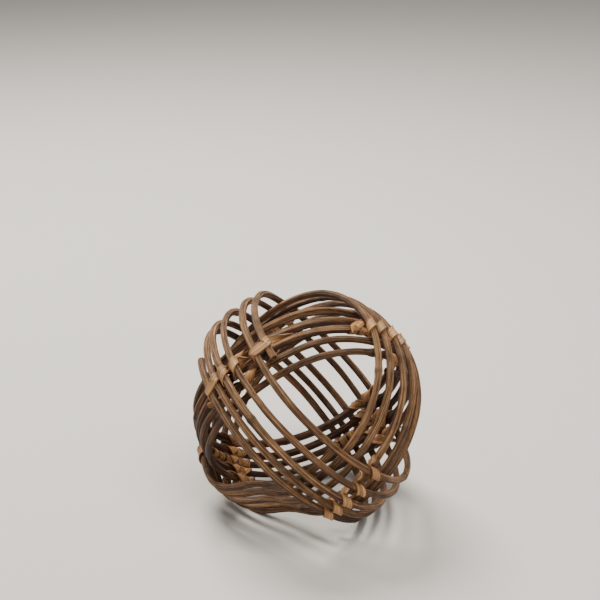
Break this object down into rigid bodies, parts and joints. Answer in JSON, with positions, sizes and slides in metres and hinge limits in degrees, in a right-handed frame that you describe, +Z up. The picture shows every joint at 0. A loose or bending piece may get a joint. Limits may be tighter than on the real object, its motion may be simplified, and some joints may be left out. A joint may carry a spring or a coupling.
{
  "type": "decorative sphere",
  "caption": "Open see-through ball of coiled cane, its bands wound square to each other and tied with flat peel where they cross.",
  "frame": {"origin": "on the table under the ball's centre, at the height of the three flats it rests on", "axes": "+Z up, -Y towards the viewer, with the outer coil's axis leaning from +Z towards +X"},
  "size_m": [0.1179, 0.13, 0.1124],
  "materials": {
    "cane": "aged brown-grey cane, satin, grooved lengthwise",
    "inner_cane": "darker brown cane, satin to slightly glossy",
    "peel": "tan split peel, smooth and slightly glossy"
  },
  "bodies": {
    "root": {"inner_coil": "inner_cane", "middle_coil": "cane", "outer_coil": "cane", "lashing_front_left": "peel", "lashing_back_right": "peel", "lashing_top_right": "peel", "lashing_low_left": "peel", "lashing_front_right": "peel", "lashing_back_left": "peel"}
  },
  "joints": []
}
